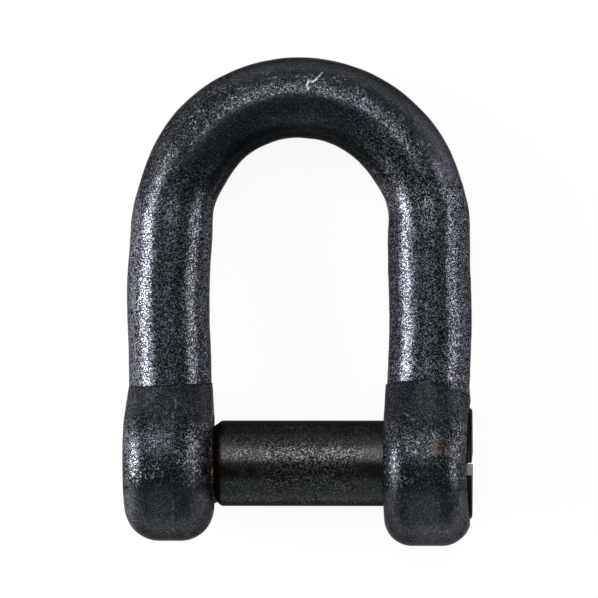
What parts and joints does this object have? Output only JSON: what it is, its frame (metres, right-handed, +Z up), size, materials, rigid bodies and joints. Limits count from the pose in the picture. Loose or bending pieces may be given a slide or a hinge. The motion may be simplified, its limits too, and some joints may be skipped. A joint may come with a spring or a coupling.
{
  "type": "chain joining shackle",
  "caption": "Forged D-shaped chain shackle in dark scaled steel, lying flat, with a slotted screw pin that closes its jaw and can be withdrawn to take a chain link.",
  "frame": {"origin": "the pin's axis, midway between the inner faces of the two ears", "axes": "+X along the pin towards its slotted head, +Y from the pin towards the crown of the bow, +Z up from the surface it lies on"},
  "size_m": [0.0939, 0.1312, 0.0434],
  "materials": {
    "forged_steel": "satin",
    "pin_steel": "satin"
  },
  "bodies": {
    "bow": {"bow": "forged_steel"},
    "pin": {"pin": "pin_steel"}
  },
  "joints": [
    {"name": "pin_withdraw", "type": "slide", "parent": "bow", "child": "pin", "axis": [1, 0, 0], "range_m": [0, 0.1]}
  ]
}
